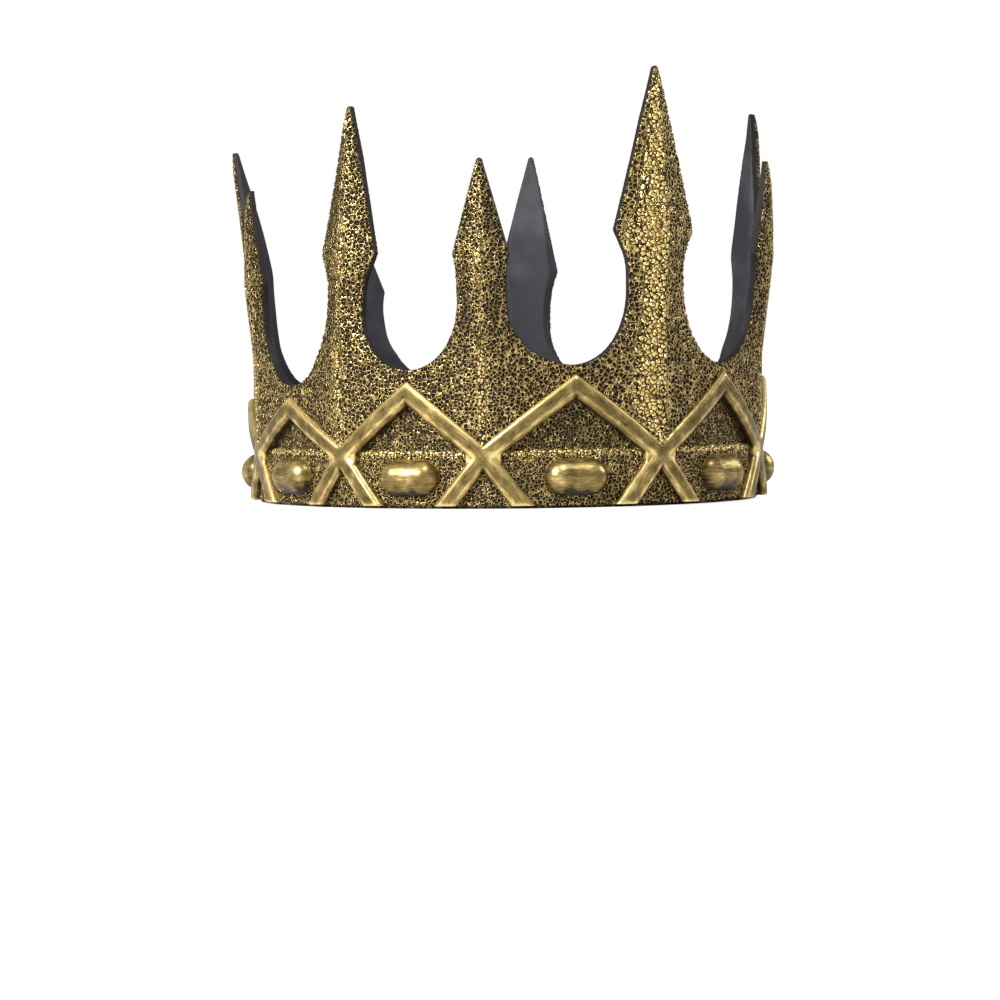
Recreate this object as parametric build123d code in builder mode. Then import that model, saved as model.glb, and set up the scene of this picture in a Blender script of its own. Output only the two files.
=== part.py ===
from build123d import *

import os
from math import atan2, cos, degrees, hypot, radians, sin

# Costume crown: an oval headband with ten textured spikes, a lattice of ten crosses and ten studs.
#
# Frame: millimetres, +Z up, Z = 0 on the bottom rim, the tall front spike faces -Y and the
# wearer's left is +X. Bearings are counted in degrees round the oval, from the front towards
# the wearer's left. Every layer is a slice of one upright oval wall, so layers meet face to face.

# Oval wall: half sizes over the face of the lattice, and how far each layer stands behind that face
HALF_LENGTH = 98.6
HALF_WIDTH = 91.8
SPIKE_SETBACK = 2.4
BAND_SETBACK = 3.1
RING_SETBACK = 4.5
SPIKE_BACK = 5.6
RING_BACK = 7.7

# Headband and the strip round its lower half
RING_HEIGHT = 39.5
TRIM_BOTTOM = 1.0
BAND_TOP = 20.2
BAND_BEVEL = 1.0

# Lattice: flat arms with bevelled edges, crossing low down, with a web in the side notches
CROSS_HEIGHT = 18.0
ARM_WIDTH = 6.4
ARM_BEVEL = 1.1
ARM_OVERRUN = 5.0
LOWER_ARM_REACH = 13.6
WEB_WIDTH = 12.4
WEB_HEIGHT = 5.0
WEB_SETBACK = 0.8
SEAT_CLEARANCE = 0.5

# Studs: half capsules lying along the band
STUD_RADIUS = 6.6
STUD_LENGTH = 22.5
STUD_HEIGHT = 10.7
STUD_SINK = 1.0

# Spikes by how far round they stand, from the front (0) to the back (5): bearing, tip height,
# shoulder height and width, neck height and width, and how far the middle ridge stands out
SPIKES = [
    (0.0, 151.2, 95.0, 32.4, 75.0, 23.0, 3.6),
    (40.0, 120.0, 87.0, 19.8, 71.0, 17.0, 2.6),
    (73.2, 139.4, 88.0, 24.8, 69.0, 16.6, 3.0),
    (107.5, 111.8, 78.5, 21.5, 64.0, 17.0, 2.5),
    (139.5, 127.6, 83.0, 22.6, 63.0, 16.8, 2.8),
    (180.0, 107.0, 76.0, 21.0, 62.0, 17.0, 2.5),
]
# Diamonds between those spikes: height of the point and of the dip in the rim above it
DIAMONDS = [(46.6, 49.0), (44.6, 47.7), (38.9, 42.4), (37.8, 41.4), (37.5, 41.0)]

# How far each soft tip leans out of the wall, from the front to the back
LEAN_LEFT = [0.0, 5.0, 5.0, 6.0, 12.0, 11.0]
LEAN_RIGHT = [0.0, 3.0, -5.2, 3.5, 12.0, 11.0]
BEND_START = 52.0
CURLED_SPIKE = 4
CURL = 1.45
BEND_STEPS = (0.0, 0.12, 0.4, 0.7, 1.0)
TIP_HALF_WIDTH = 0.9
TIP_ROUND = 0.6
TIP_SPARE = 3.0
FLARE_SHARE = 0.12
FLARE_LEAN = 0.42

# Ridge: share of the way up, share of the spike's width and share of the ridge's full height
RIDGE = [(0.0, 0.10, 0.05), (0.30, 0.36, 0.80), (0.55, 0.72, 1.0), (0.80, 0.50, 0.85), (1.0, 0.08, 0.05)]
RIDGE_FOOT = 5.5
RIDGE_SINK = 0.5

# Reach of the tools that cut curved pieces out of the wall
CUT_DEPTH = 30.0
CUT_TOP = 60.0
SECTOR_REACH = 1.6

os.makedirs("parts", exist_ok=True)


def wall_point(bearing, setback=0.0):
    """Point on the oval at one bearing."""
    angle = radians(bearing)
    return Vector((HALF_WIDTH - setback) * sin(angle), -(HALF_LENGTH - setback) * cos(angle), 0)


def facing_plane(bearing):
    """Upright plane touching the wall: X to the right seen from outside, Y up, normal outward."""
    angle = radians(bearing)
    outward = Vector(sin(angle) / HALF_WIDTH, -cos(angle) / HALF_LENGTH, 0).normalized()
    return Plane(wall_point(bearing), x_dir=Vector(0, 0, 1).cross(outward), z_dir=outward)


def sideways(plane, bearing, setback=0.0):
    """Sideways distance of another bearing on a facing plane."""
    return abs(plane.to_local_coords(wall_point(bearing, setback)).X)


def sector(outer_setback, inner_setback, first, last):
    """Flat slice of the oval wall between two bearings."""
    corners = [(0, 0)]
    for bearing, reach in ((first, 1.0), ((first + last) / 2, 1.2), (last, 1.0)):
        corner = wall_point(bearing) * (reach * SECTOR_REACH)
        corners.append((corner.X, corner.Y))
    with BuildSketch(mode=Mode.PRIVATE) as wall_slice:
        Ellipse(HALF_WIDTH - outer_setback, HALF_LENGTH - outer_setback)
        Ellipse(HALF_WIDTH - inner_setback, HALF_LENGTH - inner_setback, mode=Mode.SUBTRACT)
        with BuildLine():
            Polyline(*corners, close=True)
        make_face(mode=Mode.INTERSECT)
    return wall_slice.sketch


def wall_slab(outer_setback, inner_setback, first, last, bottom, top):
    """Upright piece of the oval wall between two bearings."""
    with BuildPart(mode=Mode.PRIVATE) as slab:
        with BuildSketch(Plane.XY.offset(bottom)):
            add(sector(outer_setback, inner_setback, first, last))
        extrude(amount=top - bottom)
    return slab.part


def lean_at(index, lean, share):
    """Outward lean part of the way up: most spikes lean low down, the curled ones near the tip."""
    if index == CURLED_SPIKE:
        return lean * share**CURL
    return lean * sin(radians(90 * share))


def knee_height(diamond):
    """Where the foot of a spike meets its neighbour's, hidden behind the diamond's point."""
    return diamond[1] - ARM_WIDTH * 0.66


def spike_sheet(index, bearing, before, after, lean):
    """One spike: a bent sheet cut to the leaf outline, with a raised ridge down its middle."""
    _, tip, shoulder, shoulder_width, neck, neck_width, ridge_height = SPIKES[index]
    plane = facing_plane(bearing)
    bend_height = tip + TIP_SPARE - BEND_START
    with BuildPart() as spike:
        # upright sheet below the bend, and above it the same slice stepping outward as it climbs
        add(wall_slab(SPIKE_SETBACK, SPIKE_BACK, before[0], after[0], CROSS_HEIGHT, BEND_START))
        section = sector(SPIKE_SETBACK, SPIKE_BACK, before[0], after[0])
        for share in BEND_STEPS:
            out = plane.z_dir * lean_at(index, lean, share)
            with BuildSketch(Plane.XY.offset(BEND_START + bend_height * share)):
                add(section.moved(Location((out.X, out.Y, 0))))
        loft()

        # ridge: a three-sided keel that follows the lean and fades out at foot and tip
        foot = BAND_TOP + RIDGE_FOOT
        for share, width_share, rise_share in RIDGE:
            height = foot + (tip - TIP_SPARE - foot) * share
            bend_share = max(0.0, (height - BEND_START) / bend_height)
            out = plane.z_dir * (lean_at(index, lean, bend_share) - SPIKE_SETBACK - RIDGE_SINK)
            centre = plane.origin + out + Vector(0, 0, height)
            half_width = shoulder_width / 2 * width_share
            crest = -(ridge_height * rise_share + RIDGE_SINK)
            with BuildSketch(Plane(centre, x_dir=plane.x_dir, z_dir=(0, 0, 1))):
                with BuildLine():
                    Polyline((-half_width, 0), (half_width, 0), (0, crest), close=True)
                make_face()
        loft(ruled=True)

        # leaf outline seen square on: V foot, quarter-round dips, waist, shoulders and tip
        with BuildSketch(plane, mode=Mode.PRIVATE) as outline:
            for side, diamond in ((-1, before), (1, after)):
                dip_at = sideways(plane, diamond[0], SPIKE_SETBACK)
                dip = diamond[2]
                knee = knee_height(diamond)
                waist = neck_width / 2
                flare = (shoulder_width - neck_width) / 2
                with BuildLine():
                    over = side * (dip_at + 1.5)
                    Polyline((0, tip), (0, BAND_TOP), (side * dip_at, knee), (over, knee))
                    Polyline((over, knee), (over, dip), (side * dip_at, dip))
                    EllipticalCenterArc(
                        (side * dip_at, neck),
                        dip_at - waist,
                        neck - dip,
                        start_angle=180 if side > 0 else 270,
                        arc_size=90,
                    )
                    swell = Spline(
                        (side * waist, neck),
                        (side * (waist + FLARE_SHARE * flare), (neck + shoulder) / 2),
                        (side * (waist + flare), shoulder),
                        tangents=((0, 1), (side * FLARE_LEAN, 1)),
                    )
                    Polyline(swell @ 1, (side * TIP_HALF_WIDTH, tip - TIP_ROUND), (0, tip))
                make_face()
        extrude(outline.sketch, amount=CUT_DEPTH, both=True, mode=Mode.INTERSECT)

        # rebate that seats the sheet over the top edge of the headband
        add(
            wall_slab(RING_SETBACK, RING_BACK, before[0] - 5, after[0] + 5, 0, RING_HEIGHT),
            mode=Mode.SUBTRACT,
        )
    return spike.part


def lattice_arm(plane, end, wall):
    """Straight bar from the crossing to a sketch point, bent to the wall, its long edges bevelled."""
    run, rise = end[0], end[1] - CROSS_HEIGHT
    middle = Location((run / 2, CROSS_HEIGHT + rise / 2, 0), (0, 0, degrees(atan2(rise, run))))
    with BuildPart(mode=Mode.PRIVATE) as bar:
        with BuildSketch(plane):
            with Locations(middle):
                Rectangle(hypot(run, rise), ARM_WIDTH)
        extrude(amount=CUT_DEPTH, both=True)
        add(wall, mode=Mode.INTERSECT)
        outside = bar.faces().sort_by(Axis(plane.origin, plane.z_dir))[-1]
        chamfer(outside.edges().sort_by(SortBy.LENGTH)[-2:], length=ARM_BEVEL)
    return bar.part


def spike_seat(plane, before, after):
    """Recess in the back of a cross for the foot of its spike."""
    corners = []
    for side, diamond in ((1, after), (-1, before)):
        reach = sideways(plane, diamond[0]) + 2
        slope = (knee_height(diamond) - BAND_TOP) / sideways(plane, diamond[0], SPIKE_SETBACK)
        corners.append((side * reach, knee_height(diamond) + 2 * slope - SEAT_CLEARANCE))
    right, left = corners
    with BuildPart(mode=Mode.PRIVATE) as seat:
        with BuildSketch(plane):
            with BuildLine():
                foot = (0, BAND_TOP - SEAT_CLEARANCE)
                Polyline(foot, right, (right[0], CUT_TOP), (left[0], CUT_TOP), left, close=True)
            make_face()
        extrude(amount=CUT_DEPTH, both=True)
        add(
            wall_slab(SPIKE_SETBACK, RING_BACK, before[0], after[0], TRIM_BOTTOM, CUT_TOP),
            mode=Mode.INTERSECT,
        )
    return seat.part


def lattice_cross(bearing, before, after, band):
    """One smooth X: arms up to the points of two diamonds and down to the bottom edge."""
    plane = facing_plane(bearing)
    wall = wall_slab(0, RING_SETBACK, before[0], after[0], TRIM_BOTTOM, CUT_TOP)
    with BuildPart() as cross:
        for side, diamond in ((-1, before), (1, after)):
            reach = sideways(plane, diamond[0])
            slope = atan2(diamond[1] - CROSS_HEIGHT, reach)
            climb = (diamond[1] - ARM_WIDTH / 2 / cos(slope) - CROSS_HEIGHT) / reach
            over = reach + ARM_OVERRUN
            add(lattice_arm(plane, (side * over, CROSS_HEIGHT + climb * over), wall))
            drop = (CROSS_HEIGHT - TRIM_BOTTOM) / LOWER_ARM_REACH
            over = LOWER_ARM_REACH + ARM_OVERRUN
            add(lattice_arm(plane, (side * over, CROSS_HEIGHT - drop * over), wall))
        with BuildSketch(plane):
            with Locations((0, CROSS_HEIGHT)):
                Rectangle(WEB_WIDTH, WEB_HEIGHT)
        web = extrude(amount=CUT_DEPTH, both=True, mode=Mode.PRIVATE)
        add(web & wall_slab(WEB_SETBACK, RING_SETBACK, before[0], after[0], TRIM_BOTTOM, CUT_TOP))
        add(spike_seat(plane, before, after), mode=Mode.SUBTRACT)
        add(band, mode=Mode.SUBTRACT)
    return cross.part


def stud(bearing):
    """Half capsule: half a slot outline turned about its long axis, cut back to the band."""
    centre = facing_plane(bearing).offset(-STUD_SINK - BAND_SETBACK)
    with BuildPart() as pill:
        with BuildSketch(centre):
            with Locations((0, STUD_HEIGHT)):
                SlotOverall(STUD_LENGTH, STUD_RADIUS * 2)
            with Locations((0, STUD_HEIGHT + STUD_RADIUS / 2)):
                Rectangle(STUD_LENGTH, STUD_RADIUS, mode=Mode.SUBTRACT)
        revolve(axis=Axis(centre.from_local_coords(Vector(0, STUD_HEIGHT, 0)), centre.x_dir))
        add(
            wall_slab(BAND_SETBACK, CUT_DEPTH, bearing - 20, bearing + 20, 0, BAND_TOP),
            mode=Mode.SUBTRACT,
        )
    return pill.part


def place_name(stem, index, side):
    """Node name by position: front, back, or left or right and how far round."""
    if index == 0:
        return f"{stem}_front"
    if index == 5:
        return f"{stem}_back"
    return f"{stem}_{'left' if side > 0 else 'right'}_{index}"


def diamond_beside(step):
    """Bearing, point height and dip height of a diamond: step 0.5 is the first to the left, -0.5 right."""
    index = int(abs(step))
    middle = (SPIKES[index][0] + SPIKES[index + 1][0]) / 2
    return (middle if step > 0 else -middle, *DIAMONDS[index])


def diamonds_round(index, side):
    """The two diamonds either side of a spike, in order of bearing."""
    if index == 5:
        before = diamond_beside(4.5)
        return before, (360 - before[0], *before[1:])
    step = index * side
    return diamond_beside(step - 0.5), diamond_beside(step + 0.5)


# ---------------------------------------------------------------- headband
with BuildPart() as base_ring:
    with BuildSketch():
        Ellipse(HALF_WIDTH - RING_SETBACK, HALF_LENGTH - RING_SETBACK)
        Ellipse(HALF_WIDTH - RING_BACK, HALF_LENGTH - RING_BACK, mode=Mode.SUBTRACT)
    extrude(amount=RING_HEIGHT)
base_ring.part.label = "base_ring"
export_step(base_ring.part, "parts/base_ring.step")

# ---------------------------------------------------------------- strip round the lower half
with BuildPart() as lower_band:
    with BuildSketch(Plane.XY.offset(TRIM_BOTTOM)):
        Ellipse(HALF_WIDTH - BAND_SETBACK, HALF_LENGTH - BAND_SETBACK)
        Ellipse(HALF_WIDTH - RING_SETBACK, HALF_LENGTH - RING_SETBACK, mode=Mode.SUBTRACT)
    extrude(amount=BAND_TOP - TRIM_BOTTOM)
    chamfer(lower_band.edges().group_by(Axis.Z)[-1].sort_by(SortBy.LENGTH)[-1], length=BAND_BEVEL)
lower_band.part.label = "lower_band"
export_step(lower_band.part, "parts/lower_band.step")

# ---------------------------------------------------------------- spikes and the crosses at their feet
places = [(0, 1)] + [(index, side) for index in range(1, 5) for side in (1, -1)] + [(5, 1)]
for index, side in places:
    bearing = SPIKES[index][0] * side
    before, after = diamonds_round(index, side)
    lean = LEAN_LEFT[index] if side > 0 else LEAN_RIGHT[index]

    spike = spike_sheet(index, bearing, before, after, lean)
    spike.label = place_name("spike", index, side)
    export_step(spike, f"parts/{spike.label}.step")

    cross = lattice_cross(bearing, before, after, lower_band.part)
    cross.label = place_name("lattice_cross", index, side)
    export_step(cross, f"parts/{cross.label}.step")

# ---------------------------------------------------------------- one stud in every diamond
for index in range(5):
    for side in (1, -1):
        pill = stud(diamond_beside(side * (index + 0.5))[0])
        pill.label = f"stud_{'left' if side > 0 else 'right'}_{index + 1}"
        export_step(pill, f"parts/{pill.label}.step")
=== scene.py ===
import math

import bmesh
import bpy
import numpy as np
from mathutils import Matrix, Vector


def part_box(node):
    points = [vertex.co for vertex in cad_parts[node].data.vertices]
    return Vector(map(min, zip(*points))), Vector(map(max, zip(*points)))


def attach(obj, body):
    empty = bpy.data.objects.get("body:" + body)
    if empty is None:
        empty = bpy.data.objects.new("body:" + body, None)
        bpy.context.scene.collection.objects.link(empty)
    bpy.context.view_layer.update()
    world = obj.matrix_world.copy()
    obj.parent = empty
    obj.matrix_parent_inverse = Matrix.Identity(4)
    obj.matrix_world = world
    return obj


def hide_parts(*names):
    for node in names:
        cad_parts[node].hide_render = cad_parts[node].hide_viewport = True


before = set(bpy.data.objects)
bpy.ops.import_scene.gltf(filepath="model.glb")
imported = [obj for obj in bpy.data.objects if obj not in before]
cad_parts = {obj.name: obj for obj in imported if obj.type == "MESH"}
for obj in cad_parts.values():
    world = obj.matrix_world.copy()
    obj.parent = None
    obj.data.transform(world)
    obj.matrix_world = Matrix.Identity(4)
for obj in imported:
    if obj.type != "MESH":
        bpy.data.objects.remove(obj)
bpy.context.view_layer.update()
MM = 0.001

# ---------------------------------------------------------------- the ten spikes
# Soft foam leaves standing up from the headband, moulded as one wall that dips between them.
# The outside is pebbled, painted black and dry-brushed with antique gold; the middle of each
# leaf rises to a crest. The edges and the inside are smooth dark foam.
HALF_WIDTH, HALF_LENGTH = 91.8 * MM, 98.6 * MM
FRONT, BACK = 0, 5
# one value for every spike, from the front one round either side to the back one
SPIKE_BEARINGS = (0.0, 40.0, 73.2, 107.5, 139.5, 180.0)
LEFT_LEANS = np.array((0.0, 5.0, 5.0, 6.0, 12.0, 11.0)) * MM
RIGHT_LEANS = np.array((0.0, 3.0, -5.2, 3.5, 12.0, 11.0)) * MM
CREST_RISE = np.array((6.2, 3.6, 4.4, 3.6, 4.0, 3.6)) * MM
CREST_ROUND = np.array((0.5, 2.0, 1.2, 1.6, 1.4, 1.6)) * MM
SPIKE_SETBACK = 2.4 * MM
BEND_START, PAST_TIP = 52 * MM, 3 * MM
CURLED_SPIKE = 4
CURL = 1.45
LOWEST_SHOULDER = 68 * MM
WAIST_DROP, TIP_TAPER, BARE_TIP = 22 * MM, 8 * MM, 3.5 * MM
THIN_EDGES = (46 * MM, 58 * MM)
THIN_TIP = 40 * MM
SPIKE_PITCH, FRONT_PITCH = 1.4 * MM, 1.6 * MM
SPIKE_CELL = 0.42 * MM
SPIKE_SMOOTHING = 3


def wall_frame(bearing):
    """Point on the oval wall at one bearing, with the sideways and outward directions there."""
    angle = math.radians(bearing)
    outward = Vector((math.sin(angle) / HALF_WIDTH, -math.cos(angle) / HALF_LENGTH, 0)).normalized()
    point = Vector((HALF_WIDTH * math.sin(angle), -HALF_LENGTH * math.cos(angle), 0))
    return point, Vector((0, 0, 1)).cross(outward), outward


def wall_reach(bearing, sideways, setback):
    """How far out a layer set back from the oval stands, sideways of the wall point at a bearing."""
    point, along, outward = wall_frame(bearing)
    wide, long = HALF_WIDTH - setback, HALF_LENGTH - setback
    start_x, start_y = point.x + along.x * sideways, point.y + along.y * sideways
    square = (outward.x / wide) ** 2 + (outward.y / long) ** 2
    cross_term = start_x * outward.x / wide**2 + start_y * outward.y / long**2
    rest = (start_x / wide) ** 2 + (start_y / long) ** 2 - 1
    return (-cross_term + np.sqrt(np.maximum(cross_term**2 - square * rest, 0))) / square


def bearings_of(co):
    """The bearing of every point on the oval, in degrees from the front, positive to the left."""
    return np.degrees(np.arctan2(co[:, 0] / HALF_WIDTH, -co[:, 1] / HALF_LENGTH))


def joined_copy(nodes, name):
    """The CAD solids of several nodes as one merged mesh object."""
    shape = bmesh.new()
    for node in nodes:
        shape.from_mesh(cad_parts[node].data)
    bmesh.ops.remove_doubles(shape, verts=shape.verts, dist=1e-6)
    return placed(shape, name)


def placed(shape, name):
    """Makes a finished shape an object in the scene."""
    mesh = bpy.data.meshes.new(name)
    shape.to_mesh(mesh)
    shape.free()
    piece = bpy.data.objects.new(name, mesh)
    bpy.context.scene.collection.objects.link(piece)
    return piece


def mesh_with_modifiers(piece):
    bpy.context.view_layer.update()
    return bpy.data.meshes.new_from_object(piece.evaluated_get(bpy.context.evaluated_depsgraph_get()))


def set_modifiers_in(piece):
    """Makes the piece's modifiers part of its mesh."""
    made = mesh_with_modifiers(piece)
    piece.modifiers.clear()
    piece.data = made


def recast(piece, cell, smoothing):
    """Remeshes a solid into an even skin of small faces, with its edges softened like moulded foam."""
    skin = piece.modifiers.new("skin", "REMESH")
    skin.mode = "VOXEL"
    skin.voxel_size = cell
    soften = piece.modifiers.new("soften", "SMOOTH")
    soften.factor = 0.5
    soften.iterations = smoothing
    set_modifiers_in(piece)


def vectors_in(mesh, collection, key):
    values = np.zeros(len(mesh.vertices) * 3, np.float32)
    collection.foreach_get(key, values)
    return values.reshape(-1, 3).astype(float)


def points_of(mesh):
    return vectors_in(mesh, mesh.vertices, "co")


def normals_of(mesh):
    return vectors_in(mesh, mesh.vertex_normals, "vector")


def keep_value(mesh, name, values):
    """Stores one number or one vector for every vertex, for the materials to read."""
    kind, key = ("FLOAT", "value") if values.ndim == 1 else ("FLOAT_VECTOR", "vector")
    layer = mesh.attributes.new(name, kind, "POINT")
    layer.data.foreach_set(key, values.astype(np.float32).ravel())


def ease(low, high, value):
    share = np.clip((value - low) / (high - low), 0, 1)
    return share * share * (3 - 2 * share)


def place_name(stem, index, side):
    if index == FRONT:
        return stem + "_front"
    if index == BACK:
        return stem + "_back"
    return f"{stem}_{'left' if side > 0 else 'right'}_{index}"


def new_node(tree, kind, **settings):
    node = tree.nodes.new(kind)
    for key, value in settings.items():
        setattr(node, key, value)
    return node


def feed(tree, socket, value):
    """Gives a socket a constant, or joins another node's output to it."""
    if isinstance(value, (int, float, tuple)):
        socket.default_value = value
    else:
        tree.links.new(value, socket)


def math_node(tree, operation, first, second):
    node = new_node(tree, "ShaderNodeMath", operation=operation)
    feed(tree, node.inputs[0], first)
    feed(tree, node.inputs[1], second)
    return node.outputs[0]


def vector_node(tree, operation, first, second):
    node = new_node(tree, "ShaderNodeVectorMath", operation=operation)
    feed(tree, node.inputs[0], first)
    feed(tree, node.inputs["Scale" if operation == "SCALE" else 1], second)
    return node.outputs[0]


def stepped(tree, value, low, high, to_low=0.0, to_high=1.0):
    """Carries a value smoothly from one range into another."""
    node = new_node(tree, "ShaderNodeMapRange", interpolation_type="SMOOTHSTEP")
    ends = (("From Min", low), ("From Max", high), ("To Min", to_low), ("To Max", to_high))
    for name, number in ends:
        node.inputs[name].default_value = number
    feed(tree, node.inputs["Value"], value)
    return node.outputs["Result"]


def noise(tree, place, scale, detail, roughness=0.5):
    node = new_node(tree, "ShaderNodeTexNoise")
    for name, number in (("Scale", scale), ("Detail", detail), ("Roughness", roughness)):
        node.inputs[name].default_value = number
    feed(tree, node.inputs["Vector"], place)
    return node


def pebble_nodes(tree, place, pitch, brush_and_light):
    """Height, 0 to 1, of a moulded skin of one pitch, and a chance number for each of its cells:
    a crinkled net round small pits on the flanks, and round beads where more gold is brushed on."""
    cells = vector_node(tree, "SCALE", place, math_node(tree, "DIVIDE", 1.0, pitch))
    crinkle = noise(tree, cells, 1.7, 1).outputs["Color"]
    centred = vector_node(tree, "SUBTRACT", crinkle, (0.5, 0.5, 0.5))
    bent = vector_node(tree, "ADD", cells, vector_node(tree, "SCALE", centred, 0.65))
    beads = new_node(tree, "ShaderNodeTexVoronoi", feature="F1")
    rims = new_node(tree, "ShaderNodeTexVoronoi", feature="DISTANCE_TO_EDGE")
    for texture in (beads, rims):
        texture.inputs["Scale"].default_value = 1.0
        texture.inputs["Randomness"].default_value = 0.95
        feed(tree, texture.inputs["Vector"], bent)
    from_rim, from_middle = rims.outputs["Distance"], beads.outputs["Distance"]
    flat_bead = stepped(tree, from_rim, 0.0, 0.13, 0, 1)
    round_bead = stepped(tree, from_middle, 0.4, 0.8, 1, 0.45)
    domed = math_node(tree, "MULTIPLY", flat_bead, round_bead)
    netted = stepped(tree, from_rim, 0.04, 0.25, 1, 0)
    skin = new_node(tree, "ShaderNodeMix", data_type="FLOAT")
    feed(tree, skin.inputs[0], stepped(tree, brush_and_light, 0.38, 0.6, 0, 1))
    feed(tree, skin.inputs[2], netted)
    feed(tree, skin.inputs[3], domed)
    return skin.outputs[0], beads.outputs["Color"]


# the pebbles as real relief: every vertex moves out by the pebble's height where it faces outward
PEBBLE_RELIEF = 0.5 * MM
pebbling = bpy.data.node_groups.new("pebbled skin", "GeometryNodeTree")
pebbling.interface.new_socket("Geometry", in_out="INPUT", socket_type="NodeSocketGeometry")
pebbling.interface.new_socket("Geometry", in_out="OUTPUT", socket_type="NodeSocketGeometry")


def kept_value(name, kind):
    node = new_node(pebbling, "GeometryNodeInputNamedAttribute", data_type=kind)
    node.inputs["Name"].default_value = name
    return node.outputs[0]


pebble_height, _ = pebble_nodes(
    pebbling, kept_value("rest", "FLOAT_VECTOR"), kept_value("pitch", "FLOAT"), kept_value("brush_and_light", "FLOAT")
)
centred_height = math_node(pebbling, "SUBTRACT", pebble_height, 0.5)
outside_height = math_node(pebbling, "MULTIPLY", centred_height, kept_value("outside", "FLOAT"))
relief = math_node(pebbling, "MULTIPLY", outside_height, PEBBLE_RELIEF)
normal = new_node(pebbling, "GeometryNodeInputNormal").outputs[0]
entry, leave = new_node(pebbling, "NodeGroupInput"), new_node(pebbling, "NodeGroupOutput")
move = new_node(pebbling, "GeometryNodeSetPosition")
feed(pebbling, move.inputs["Geometry"], entry.outputs[0])
feed(pebbling, move.inputs["Offset"], vector_node(pebbling, "SCALE", normal, relief))
feed(pebbling, leave.inputs[0], move.outputs[0])


def pebble(piece):
    piece.modifiers.new("pebbles", "NODES").node_group = pebbling
    set_modifiers_in(piece)


splits = [(SPIKE_BEARINGS[i] + SPIKE_BEARINGS[i + 1]) / 2 for i in range(BACK)]
spike_places = [(FRONT, 1)] + [(index, side) for index in range(1, BACK) for side in (1, -1)] + [(BACK, 1)]


def span_of(index, side):
    """Bearings between which a spike or cross stands."""
    if index == FRONT:
        return -splits[0], splits[0]
    if index == BACK:
        return splits[-1], 360 - splits[-1]
    if side > 0:
        return splits[index - 1], splits[index]
    return -splits[index], -splits[index - 1]


def leaf_outline(sideways, up, foot, tip):
    """Half width of the leaf at every point's height, read from the leaf, and its shoulders' height."""
    levels = np.arange(foot, tip + MM, MM)
    widths = [np.abs(sideways[np.abs(up - level) < 1.5 * MM]).max(initial=1 * MM) for level in levels]
    widths = np.array(widths)
    upper = levels > LOWEST_SHOULDER
    shoulder_at = levels[upper][widths[upper].argmax()]
    return np.minimum(np.interp(up, levels, widths), widths[upper].max() * 1.25), shoulder_at


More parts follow.
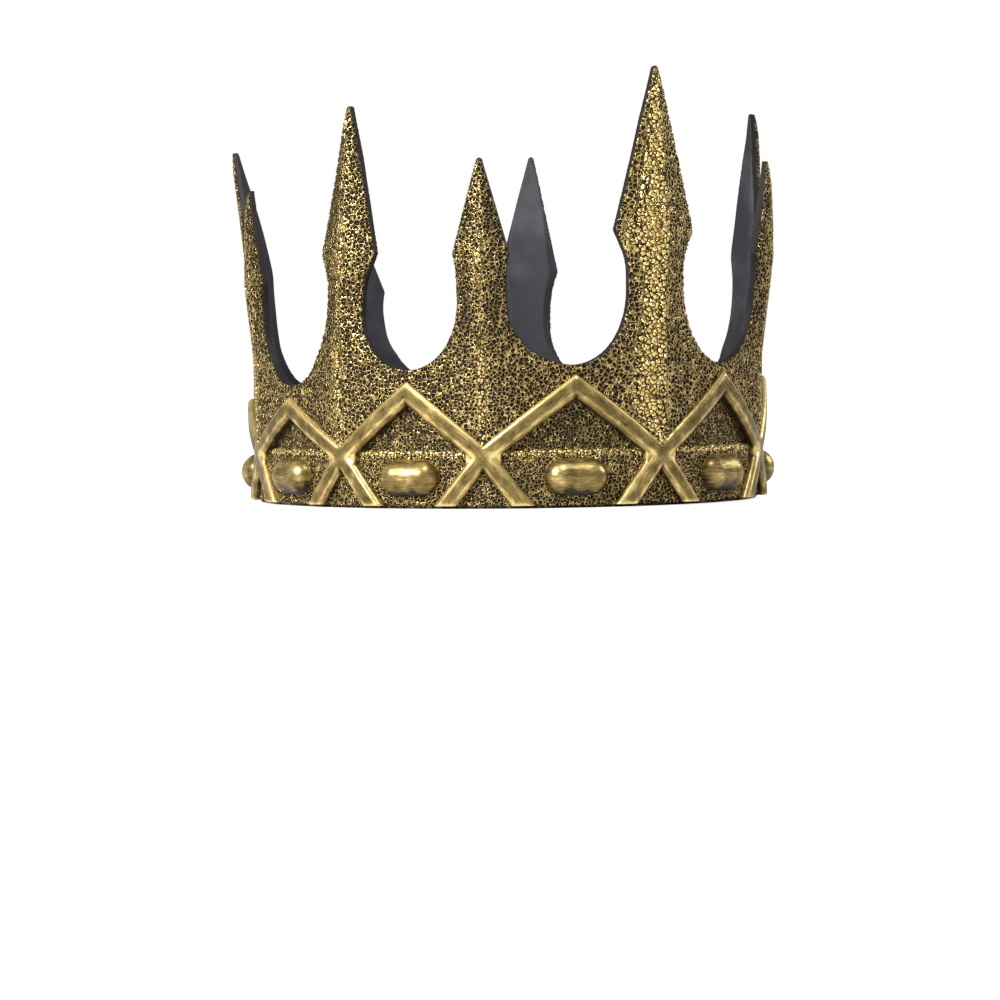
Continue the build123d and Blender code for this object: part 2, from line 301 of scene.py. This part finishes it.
wall = joined_copy([place_name("spike", index, side) for index, side in spike_places], "spike_wall")
recast(wall, SPIKE_CELL, SPIKE_SMOOTHING)
co = points_of(wall.data)
facing = normals_of(wall.data)
bearing = bearings_of(co)
outside, brush_and_light, inside = np.zeros(len(co)), np.zeros(len(co)), np.zeros(len(co))
for index, side in spike_places:
    reach = np.abs(bearing)
    low = splits[index - 1] if index > FRONT else -1
    high = splits[index] if index < BACK else 181
    mine = (reach >= low) & (reach < high)
    if FRONT < index < BACK:
        mine &= (bearing > 0) == (side > 0)
    point, along, outward = wall_frame(SPIKE_BEARINGS[index] * side)
    lean = (LEFT_LEANS if side > 0 else RIGHT_LEANS)[index]
    local = co[mine] - np.array(point)
    sideways, out, up = local @ np.array(along), local @ np.array(outward), co[mine, 2]
    node_low, node_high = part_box(place_name("spike", index, side))
    foot, tip = node_low.z, node_high.z
    half_width, shoulder_at = leaf_outline(sideways, up, foot, tip)
    # crest: highest at the shoulders, lower at the foot and the tip
    heights = (foot, shoulder_at - WAIST_DROP, shoulder_at, tip - TIP_TAPER, tip)
    rise = CREST_RISE[index] * np.interp(up, heights, (0.45, 0.75, 1.0, 0.45, 0.1))
    blunt = CREST_ROUND[index]
    away = np.sqrt(sideways**2 + blunt**2) - blunt
    roof = rise * np.clip(1 - away / half_width, 0, 1) ** 1.15
    bend = np.clip((up - BEND_START) / (tip + PAST_TIP - BEND_START), 0, 1)
    leaning = bend**CURL if index == CURLED_SPIKE else np.sin(bend * math.pi / 2)
    sheet = wall_reach(SPIKE_BEARINGS[index] * side, sideways, SPIKE_SETBACK) + lean * leaning
    outward_facing = facing[mine] @ np.array(outward)
    front = ease(0.25, 0.7, outward_facing)
    moved = out + front * (sheet + roof - out)
    # the sheet gets thinner towards its edges and its tip
    near_edge = ease(0.7, 1.0, np.abs(sideways) / half_width) * ease(*THIN_EDGES, up)
    thinned = 1 - 0.5 * np.maximum(0.8 * near_edge, ease(tip - THIN_TIP, tip, up))
    moved = sheet + (moved - sheet) * np.where(moved < sheet, thinned, 1)
    co[mine] += (moved - out)[:, None] * np.array(outward)
    outside[mine] = front * ease(tip, tip - BARE_TIP, up)
    inside[mine] = ease(0.3, 0.7, -outward_facing)
    # how heavily the gold is brushed on: the crest and the shoulders catch the most; on the tall front
    # spike it lies wide on the near, lit side of the crest as painted highlight and hardly on the far side,
    # as painted shade
    tall = 1 if index == FRONT else 0
    # painted highlight: on the front spike the bright band is moved onto the side of the crest facing the
    # key light
    beside_painted_highlight = sideways + 0.24 * half_width * tall
    near_shoulder = np.exp(-(((up - shoulder_at) / (9 * MM)) ** 2))
    band_width = (0.16 + 0.12 * tall + 0.14 * near_shoulder) * half_width + 0.6 * MM
    near_crest = np.exp(-((beside_painted_highlight / band_width) ** 2))
    # painted shade: on the front spike the flank turned away from the key light gets little gold
    painted_shade = ease(0, 0.22, sideways / half_width) * tall
    heavy = 0.34 + 0.32 * tall
    on_leaf = 0.12 * ease(50 * MM, 66 * MM, up) * (1 - tall)
    caught_and_shaded = (heavy * near_crest + 0.1 * near_shoulder) * (1 - 0.75 * painted_shade)
    brush_and_light[mine] = front * (0.25 + 0.02 * tall - on_leaf + caught_and_shaded)
wall.data.vertices.foreach_set("co", co.astype(np.float32).ravel())
wall.data.update()
keep_value(wall.data, "rest", co)
keep_value(wall.data, "outside", outside)
keep_value(wall.data, "inside", inside)
keep_value(wall.data, "brush_and_light", brush_and_light)
keep_value(wall.data, "pitch", np.where(np.abs(bearing) < splits[0], FRONT_PITCH, SPIKE_PITCH))
pebble(wall)

CUT_MARGIN = 1.5


def cut_from(whole, name, first, last):
    """The part of a ring-shaped mesh between two bearings, its cut ends closed."""
    middle, half = (first + last) / 2, (last - first) / 2
    turned = (bearings_of(points_of(whole.data)) - middle + 180) % 360 - 180
    near = np.flatnonzero(np.abs(turned) < half + CUT_MARGIN)
    whole.vertex_groups.new(name="near").add(near.tolist(), 1.0, "REPLACE")
    whole.modifiers.new("near", "MASK").vertex_group = "near"
    near_mesh = mesh_with_modifiers(whole)
    whole.modifiers.clear()
    whole.vertex_groups.clear()
    shape = bmesh.new()
    shape.from_mesh(near_mesh)
    for bearing, keep in ((first, 1), (last, -1)):
        point, _, _ = wall_frame(bearing)
        side_on = Vector((0, 0, 1)).cross(point.normalized()) * keep
        geometry = list(shape.verts) + list(shape.edges) + list(shape.faces)
        bmesh.ops.bisect_plane(shape, geom=geometry, plane_co=(0, 0, 0), plane_no=side_on, clear_inner=True)
    bmesh.ops.holes_fill(shape, edges=[edge for edge in shape.edges if edge.is_boundary])
    piece = placed(shape, name)
    piece.data.shade_smooth()
    return piece


# the same pebbles as a shader group, so that the paint sits on the beads that stand in the mesh
pebble_paint = bpy.data.node_groups.new("pebble relief", "ShaderNodeTree")
pebble_paint.interface.new_socket("Place", in_out="INPUT", socket_type="NodeSocketVector")
pebble_paint.interface.new_socket("Pitch", in_out="INPUT", socket_type="NodeSocketFloat")
pebble_paint.interface.new_socket("Brush", in_out="INPUT", socket_type="NodeSocketFloat")
for output in ("Height", "Chance", "Patches"):
    pebble_paint.interface.new_socket(output, in_out="OUTPUT", socket_type="NodeSocketFloat")
entry, leave = new_node(pebble_paint, "NodeGroupInput"), new_node(pebble_paint, "NodeGroupOutput")
height, chance = pebble_nodes(pebble_paint, *(entry.outputs[name] for name in ("Place", "Pitch", "Brush")))
feed(pebble_paint, leave.inputs["Height"], height)
feed(pebble_paint, leave.inputs["Chance"], chance)
patches = noise(pebble_paint, entry.outputs["Place"], 420, 3, 0.7)
feed(pebble_paint, leave.inputs["Patches"], patches.outputs[0])

BLACK_PAINT = (0.009, 0.006, 0.004, 1)
DULL_GOLD = (0.17, 0.115, 0.037, 1)
BRIGHT_GOLD = (0.80, 0.60, 0.23, 1)
SLATE_FOAM = (0.024, 0.025, 0.029, 1)
WIPED_FOAM = (0.052, 0.053, 0.060, 1)


def new_finish(name):
    material = bpy.data.materials.new(name)
    material.use_nodes = True
    return material, material.node_tree, material.node_tree.nodes["Principled BSDF"]


def attribute(tree, name, output="Fac"):
    return new_node(tree, "ShaderNodeAttribute", attribute_name=name).outputs[output]


def mixed(tree, share, first, second):
    node = new_node(tree, "ShaderNodeMix", data_type="RGBA")
    feed(tree, node.inputs["Factor"], share)
    feed(tree, node.inputs[6], first)
    feed(tree, node.inputs[7], second)
    return node.outputs[2]


def bumped(tree, height, strength, distance):
    node = new_node(tree, "ShaderNodeBump")
    node.inputs["Strength"].default_value = strength
    node.inputs["Distance"].default_value = distance
    feed(tree, node.inputs["Height"], height)
    return node.outputs[0]


brushed_foam, tree, paint = new_finish("dry-brushed pebbled foam")
pebbles = new_node(tree, "ShaderNodeGroup", node_tree=pebble_paint)
rest = attribute(tree, "rest", "Vector")
outward = attribute(tree, "outside")
brushed_and_lit = attribute(tree, "brush_and_light")
feed(tree, pebbles.inputs["Place"], rest)
feed(tree, pebbles.inputs["Pitch"], attribute(tree, "pitch"))
feed(tree, pebbles.inputs["Brush"], brushed_and_lit)
height = pebbles.outputs["Height"]
# a dry brush gilds only what stands high, and more of it where it is pressed harder
# the brush amounts also carry painted shade on the front spike's far flank and a painted highlight on the
# ledge
uneven = math_node(tree, "MULTIPLY", math_node(tree, "SUBTRACT", pebbles.outputs["Patches"], 0.5), 1.1)
pressed_and_lit = math_node(tree, "ADD", brushed_and_lit, uneven)
reached = math_node(tree, "ADD", height, pressed_and_lit)
gold = math_node(tree, "MULTIPLY", stepped(tree, reached, 0.86, 1.08), outward)
# each bead gets its own random gold tone, which also makes painted glints on the beads
bead_tone_and_glint = math_node(tree, "MULTIPLY", pebbles.outputs["Chance"], 0.45)
laid_on = math_node(tree, "ADD", math_node(tree, "ADD", pressed_and_lit, bead_tone_and_glint), height)
gold_colour = mixed(tree, stepped(tree, laid_on, 1.15, 1.95), DULL_GOLD, BRIGHT_GOLD)
smudges = stepped(tree, noise(tree, rest, 45, 4).outputs[0], 0.45, 0.7)
slate = mixed(tree, smudges, SLATE_FOAM, WIPED_FOAM)
sides = mixed(tree, stepped(tree, attribute(tree, "inside"), 0, 1, 0.25, 1.0), BLACK_PAINT, slate)
ground = mixed(tree, outward, sides, BLACK_PAINT)
feed(tree, paint.inputs["Base Color"], mixed(tree, gold, ground, gold_colour))
feed(tree, paint.inputs["Metallic"], math_node(tree, "MULTIPLY", gold, 0.8))
feed(tree, paint.inputs["Roughness"], stepped(tree, gold, 0, 1, 0.6, 0.27))
paint.inputs["Specular IOR Level"].default_value = 0.2
outside_relief = math_node(tree, "MULTIPLY", height, outward)
feed(tree, paint.inputs["Normal"], bumped(tree, outside_relief, 1.0, 0.6 * MM))

for index, side in spike_places:
    node = place_name("spike", index, side)
    piece = cut_from(wall, node + "_foam", *span_of(index, side))
    piece.data.materials.append(brushed_foam)
    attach(piece, "root")
    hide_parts(node)
bpy.data.objects.remove(wall)

# ---------------------------------------------------------------- headband and lower band
# Two hoops of the same foam. The headband is smooth slate grey inside and pebbled outside, and
# shows in the diamonds; the lower band is glued round it and its top edge makes a level ledge.
HOOP_STEPS = 1180
HOOP_PITCH = 1.2 * MM
LEDGE_HEIGHT, LEDGE_SPREAD = 19.2 * MM, 1.2 * MM


def hoop(name, outline):
    """Turns a closed outline of (setback, height) points round the oval wall."""
    shape = bmesh.new()
    corners = [shape.verts.new((0, setback * MM - HALF_LENGTH, height * MM)) for setback, height in outline]
    edges = [shape.edges.new(pair) for pair in zip(corners, corners[1:] + corners[:1])]
    bmesh.ops.spin(
        shape, geom=corners + edges, cent=(0, 0, 0), axis=(0, 0, 1), angle=2 * math.pi, steps=HOOP_STEPS,
        use_merge=True,
    )
    for vertex in shape.verts:
        radius = math.hypot(vertex.co.x, vertex.co.y)
        setback = HALF_LENGTH - radius
        vertex.co.x *= (HALF_WIDTH - setback) / radius
    bmesh.ops.recalc_face_normals(shape, faces=shape.faces)
    piece = placed(shape, name)
    piece.data.shade_smooth()
    return piece


def run(first, last, step):
    """Evenly spaced outline points from one corner up to, but not including, the next."""
    count = max(1, round(math.dist(first, last) / step))
    return [tuple(first[k] + (last[k] - first[k]) * i / count for k in (0, 1)) for i in range(count)]


# (setback, height) outlines in millimetres, with points close together only where a face is pebbled
RING_OUTLINE = (
    run((4.5, 0.3), (4.5, 18.0), 3.0) + run((4.5, 18.0), (4.5, 39.2), 0.5)
    + run((4.8, 39.5), (7.4, 39.5), 1.5) + run((7.7, 39.2), (7.7, 0.3), 5.0)
    + run((7.4, 0.0), (4.8, 0.0), 1.5)
)
BAND_OUTLINE = (
    run((3.1, 1.2), (3.1, 19.3), 0.5) + run((3.1, 19.3), (4.1, 20.2), 0.5)
    + run((4.1, 20.2), (4.5, 20.2), 1.0) + run((4.5, 20.2), (4.5, 1.0), 6.0)
    + run((4.5, 1.0), (3.3, 1.0), 1.0)
)
HOOPS = (("base_ring", RING_OUTLINE, "inner_foam"), ("lower_band", BAND_OUTLINE, "textured_gold"))
for node, outline, slot in HOOPS:
    piece = hoop(node + "_foam", outline)
    co = points_of(piece.data)
    facing = normals_of(piece.data)
    radial = np.column_stack((co[:, 0] / HALF_WIDTH**2, co[:, 1] / HALF_LENGTH**2, np.zeros(len(co))))
    radial /= np.linalg.norm(radial, axis=1)[:, None]
    outward_facing = (facing * radial).sum(1)
    ledged = 1 if node == "lower_band" else 0
    outside = ease(0.3, 0.7, outward_facing + 0.6 * np.clip(facing[:, 2], 0, 1) * ledged)
    ledge = np.exp(-(((co[:, 2] - LEDGE_HEIGHT) / LEDGE_SPREAD) ** 2)) * ledged
    keep_value(piece.data, "rest", co)
    keep_value(piece.data, "outside", outside)
    keep_value(piece.data, "inside", ease(0.3, 0.7, -outward_facing))
    # the ledge gets the most gold: dry brushing along its edge, and a painted highlight line where its top
    # faces up
    keep_value(piece.data, "brush_and_light", outside * (0.18 + 0.7 * ledge + 0.07 * ledged))
    keep_value(piece.data, "pitch", np.full(len(co), HOOP_PITCH))
    pebble(piece)
    piece.data.materials.append(brushed_foam)
    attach(piece, "root")
    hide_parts(node)

# ---------------------------------------------------------------- lattice
# Smooth foam straps crossing under every spike, glued over the band and the feet of the spikes.
# They are painted antique gold with a dark wash rubbed off the faces, so that it stays in the
# corners and in fine streaks along each strap; faces turned up get painted highlight, faces turned down
# painted shade.
LATTICE_CELL = 0.4 * MM
LATTICE_SMOOTHING = 8
CROSSING = 18.0 * MM
STRAP_DEPTH = 3.2 * MM
UPPER_SLOPE, LOWER_SLOPE = math.radians(40), math.radians(-52)

WASH = (0.014, 0.010, 0.006, 1)
STAINED_GOLD = (0.20, 0.14, 0.045, 1)
RUBBED_GOLD = (0.82, 0.62, 0.24, 1)

smooth_gold, tree, paint = new_finish("rubbed antique gold")
# strap holds the distances along and across a strap, so the streaks are long one way
along_strap = vector_node(tree, "MULTIPLY", attribute(tree, "strap", "Vector"), (260, 1500, 0))
streaks = noise(tree, along_strap, 1.0, 4, 0.65).outputs[0]
blotches = noise(tree, attribute(tree, "rest", "Vector"), 190, 4).outputs[0]
scratched = math_node(tree, "MULTIPLY", streaks, 0.6)
mottled = math_node(tree, "MULTIPLY", blotches, 0.6)
marks = math_node(tree, "ADD", scratched, mottled)
level = math_node(tree, "ADD", math_node(tree, "SUBTRACT", marks, 0.1), attribute(tree, "wear_and_painted_light"))
washed = mixed(tree, stepped(tree, level, 0.38, 0.56), WASH, STAINED_GOLD)
feed(tree, paint.inputs["Base Color"], mixed(tree, stepped(tree, level, 0.54, 0.95), washed, RUBBED_GOLD))
feed(tree, paint.inputs["Metallic"], stepped(tree, level, 0.3, 0.55, 0.2, 0.8))
feed(tree, paint.inputs["Roughness"], stepped(tree, marks, 0.3, 0.7, 0.44, 0.3))
paint.inputs["Specular IOR Level"].default_value = 0.3
feed(tree, paint.inputs["Normal"], bumped(tree, marks, 0.25, 0.15 * MM))


def convexity(mesh, rounds):
    """How far each vertex stands proud of its neighbours along its normal, spread over a few rounds."""
    co, facing = points_of(mesh), normals_of(mesh)
    ends = np.zeros(len(mesh.edges) * 2, np.int32)
    mesh.edges.foreach_get("vertices", ends)
    first, second = ends.reshape(-1, 2).T
    count = np.bincount(first, minlength=len(co)) + np.bincount(second, minlength=len(co))
    count = np.maximum(count, 1)

    def spread(values):
        total = np.bincount(first, values[second], len(co)) + np.bincount(second, values[first], len(co))
        return total / count

    middle = np.column_stack([spread(co[:, axis]) for axis in range(3)])
    proud = ((co - middle) * facing).sum(1)
    for _ in range(rounds):
        proud = (proud + spread(proud)) / 2
    return proud / LATTICE_CELL


def rub_gold_and_paint_light(mesh, strap_values, depth, web_highlight=0):
    """Stores where the wash was rubbed off, on edges and on what stands forward, with painted highlight on
    faces turned up and painted shade on faces turned down.
    """
    upward = np.clip(normals_of(mesh)[:, 2], -1, 1)
    edges_bared = np.clip(5.0 * convexity(mesh, 4), -0.35, 0.45)
    # painted highlight on faces turned up and painted shade on faces turned down, as if lit from above
    wear_and_painted_light = edges_bared + 0.13 * upward + 0.17 * ease(0.1, 0.9, depth) - 0.11 + web_highlight
    keep_value(mesh, "rest", points_of(mesh))
    keep_value(mesh, "strap", strap_values)
    keep_value(mesh, "wear_and_painted_light", wear_and_painted_light)


def setback_of(co):
    """How far points stand behind the face of the lattice."""
    setback = np.zeros(len(co))
    for _ in range(4):
        size = np.sqrt((co[:, 0] / (HALF_WIDTH - setback)) ** 2 + (co[:, 1] / (HALF_LENGTH - setback)) ** 2)
        setback += (1 - size) * np.hypot(co[:, 0], co[:, 1])
    return setback


lattice = joined_copy([place_name("lattice_cross", index, side) for index, side in spike_places], "lattice")
recast(lattice, LATTICE_CELL, LATTICE_SMOOTHING)
co = points_of(lattice.data)
bearing = bearings_of(co)
strap_values = np.zeros_like(co)
web_highlight = np.zeros(len(co))
for index, side in spike_places:
    first, last = span_of(index, side)
    middle = SPIKE_BEARINGS[index] * side
    turned = (bearing - middle + 180) % 360 - 180
    mine = (turned >= first - middle) & (turned <= last - middle)
    point, along, _ = wall_frame(middle)
    sideways = (co[mine] - np.array(point)) @ np.array(along)
    up = co[mine, 2] - CROSSING
    # the webs beside each crossing get a painted highlight
    web_sideways = (np.abs(sideways) - 4.5 * MM) / (2.2 * MM)
    web_up = (up + 0.5 * MM) / (1.9 * MM)
    web_highlight[mine] = 0.5 * np.exp(-(web_sideways**2) - web_up**2)
    slope = np.where(up > 0, UPPER_SLOPE, LOWER_SLOPE) * np.sign(sideways)
    strap_values[mine, 0] = np.cos(slope) * sideways + np.sin(slope) * up
    strap_values[mine, 1] = -np.sin(slope) * sideways + np.cos(slope) * up
rub_gold_and_paint_light(lattice.data, strap_values, 1 - setback_of(co) / STRAP_DEPTH, web_highlight)
for index, side in spike_places:
    node = place_name("lattice_cross", index, side)
    piece = cut_from(lattice, node + "_gold", *span_of(index, side))
    piece.data.materials.append(smooth_gold)
    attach(piece, "root")
    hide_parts(node)
bpy.data.objects.remove(lattice)

# ---------------------------------------------------------------- studs
# One smooth foam capsule lies along the lower band in the middle of every diamond, with its back
# sunk into the band. It is painted as the lattice is, and less of the wash is rubbed off it.
STUD_SMOOTHING = 4
STUD_FACE, STUD_DEPTH = 1.5 * MM, 4.6 * MM
WASH_LEFT = 0.22

for index, split in enumerate(splits):
    for side in (1, -1):
        node = f"stud_{'left' if side > 0 else 'right'}_{index + 1}"
        piece = joined_copy([node], node + "_gold")
        recast(piece, LATTICE_CELL, STUD_SMOOTHING)
        piece.data.shade_smooth()
        co = points_of(piece.data)
        point, along, _ = wall_frame(split * side)
        sideways = (co - np.array(point)) @ np.array(along)
        depth = 1 - (setback_of(co) + STUD_FACE) / STUD_DEPTH
        rub_gold_and_paint_light(piece.data, np.column_stack((sideways, co[:, 2], np.zeros(len(co)))), depth - WASH_LEFT)
        piece.data.materials.append(smooth_gold)
        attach(piece, "root")
        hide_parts(node)

# ---------------------------------------------------------------- floor, light and camera
# A pale floor and a white surround, with one large soft light on the left, a weaker one above
# and a weak one on the right.
FLOOR_DROP = 0.2 * MM
WHITE = (1, 1, 1, 1)

sweep = bmesh.new()
bmesh.ops.create_grid(sweep, x_segments=1, y_segments=1, size=6)
floor = placed(sweep, "floor")
floor.location.z = -FLOOR_DROP
pale, tree, paint = new_finish("pale floor")
paint.inputs["Base Color"].default_value = (0.82, 0.82, 0.83, 1)
paint.inputs["Roughness"].default_value = 0.7
paint.inputs["Emission Color"].default_value = WHITE
seen = new_node(tree, "ShaderNodeLightPath").outputs["Is Camera Ray"]
feed(tree, paint.inputs["Emission Strength"], stepped(tree, seen, 0, 1, 0.0, 0.78))
floor.data.materials.append(pale)

world = bpy.data.worlds.new("studio")
bpy.context.scene.world = world
world.use_nodes = True
surround = world.node_tree.nodes["Background"]
surround.inputs["Color"].default_value = WHITE
seen = new_node(world.node_tree, "ShaderNodeLightPath").outputs["Is Camera Ray"]
feed(world.node_tree, surround.inputs["Strength"], stepped(world.node_tree, seen, 0, 1, 0.3, 1.0))

CROWN_MIDDLE = Vector((0, 0, 0.07))


def soft_box(name, bearing, height, distance, size, power):
    angle = math.radians(bearing)
    lamp = bpy.data.lights.new(name, "AREA")
    lamp.size = size
    lamp.energy = power
    holder = bpy.data.objects.new(name, lamp)
    holder.location = (distance * math.sin(angle), -distance * math.cos(angle), height)
    holder.rotation_euler = (CROWN_MIDDLE - holder.location).to_track_quat("-Z", "Y").to_euler()
    bpy.context.scene.collection.objects.link(holder)


soft_box("key", -78, 0.75, 1.2, 0.3, 27)
soft_box("top", -20, 1.3, 0.8, 0.35, 7)
soft_box("fill", 75, 0.7, 1.4, 0.6, 7)

CAMERA_BEARING, CAMERA_RISE, CAMERA_ROLL = math.radians(-32.99), math.radians(2.2), math.radians(-0.66)
CAMERA_DISTANCE = 1.597
camera_data = bpy.data.cameras.new("camera")
camera_data.lens = 158.5
camera_data.sensor_width = 36
camera_data.shift_x = -0.0075
camera_data.shift_y = -0.0015
camera = bpy.data.objects.new("camera", camera_data)
bpy.context.scene.collection.objects.link(camera)
level_reach = math.cos(CAMERA_RISE)
back = Vector((
    math.sin(CAMERA_BEARING) * level_reach, -math.cos(CAMERA_BEARING) * level_reach, math.sin(CAMERA_RISE)
))
look = (-back).to_track_quat("-Z", "Y").to_matrix().to_4x4()
rolled = look @ Matrix.Rotation(CAMERA_ROLL, 4, "Z")
camera.matrix_world = Matrix.Translation(back * CAMERA_DISTANCE) @ rolled
bpy.context.scene.camera = camera
bpy.context.scene.view_settings.view_transform = "Standard"
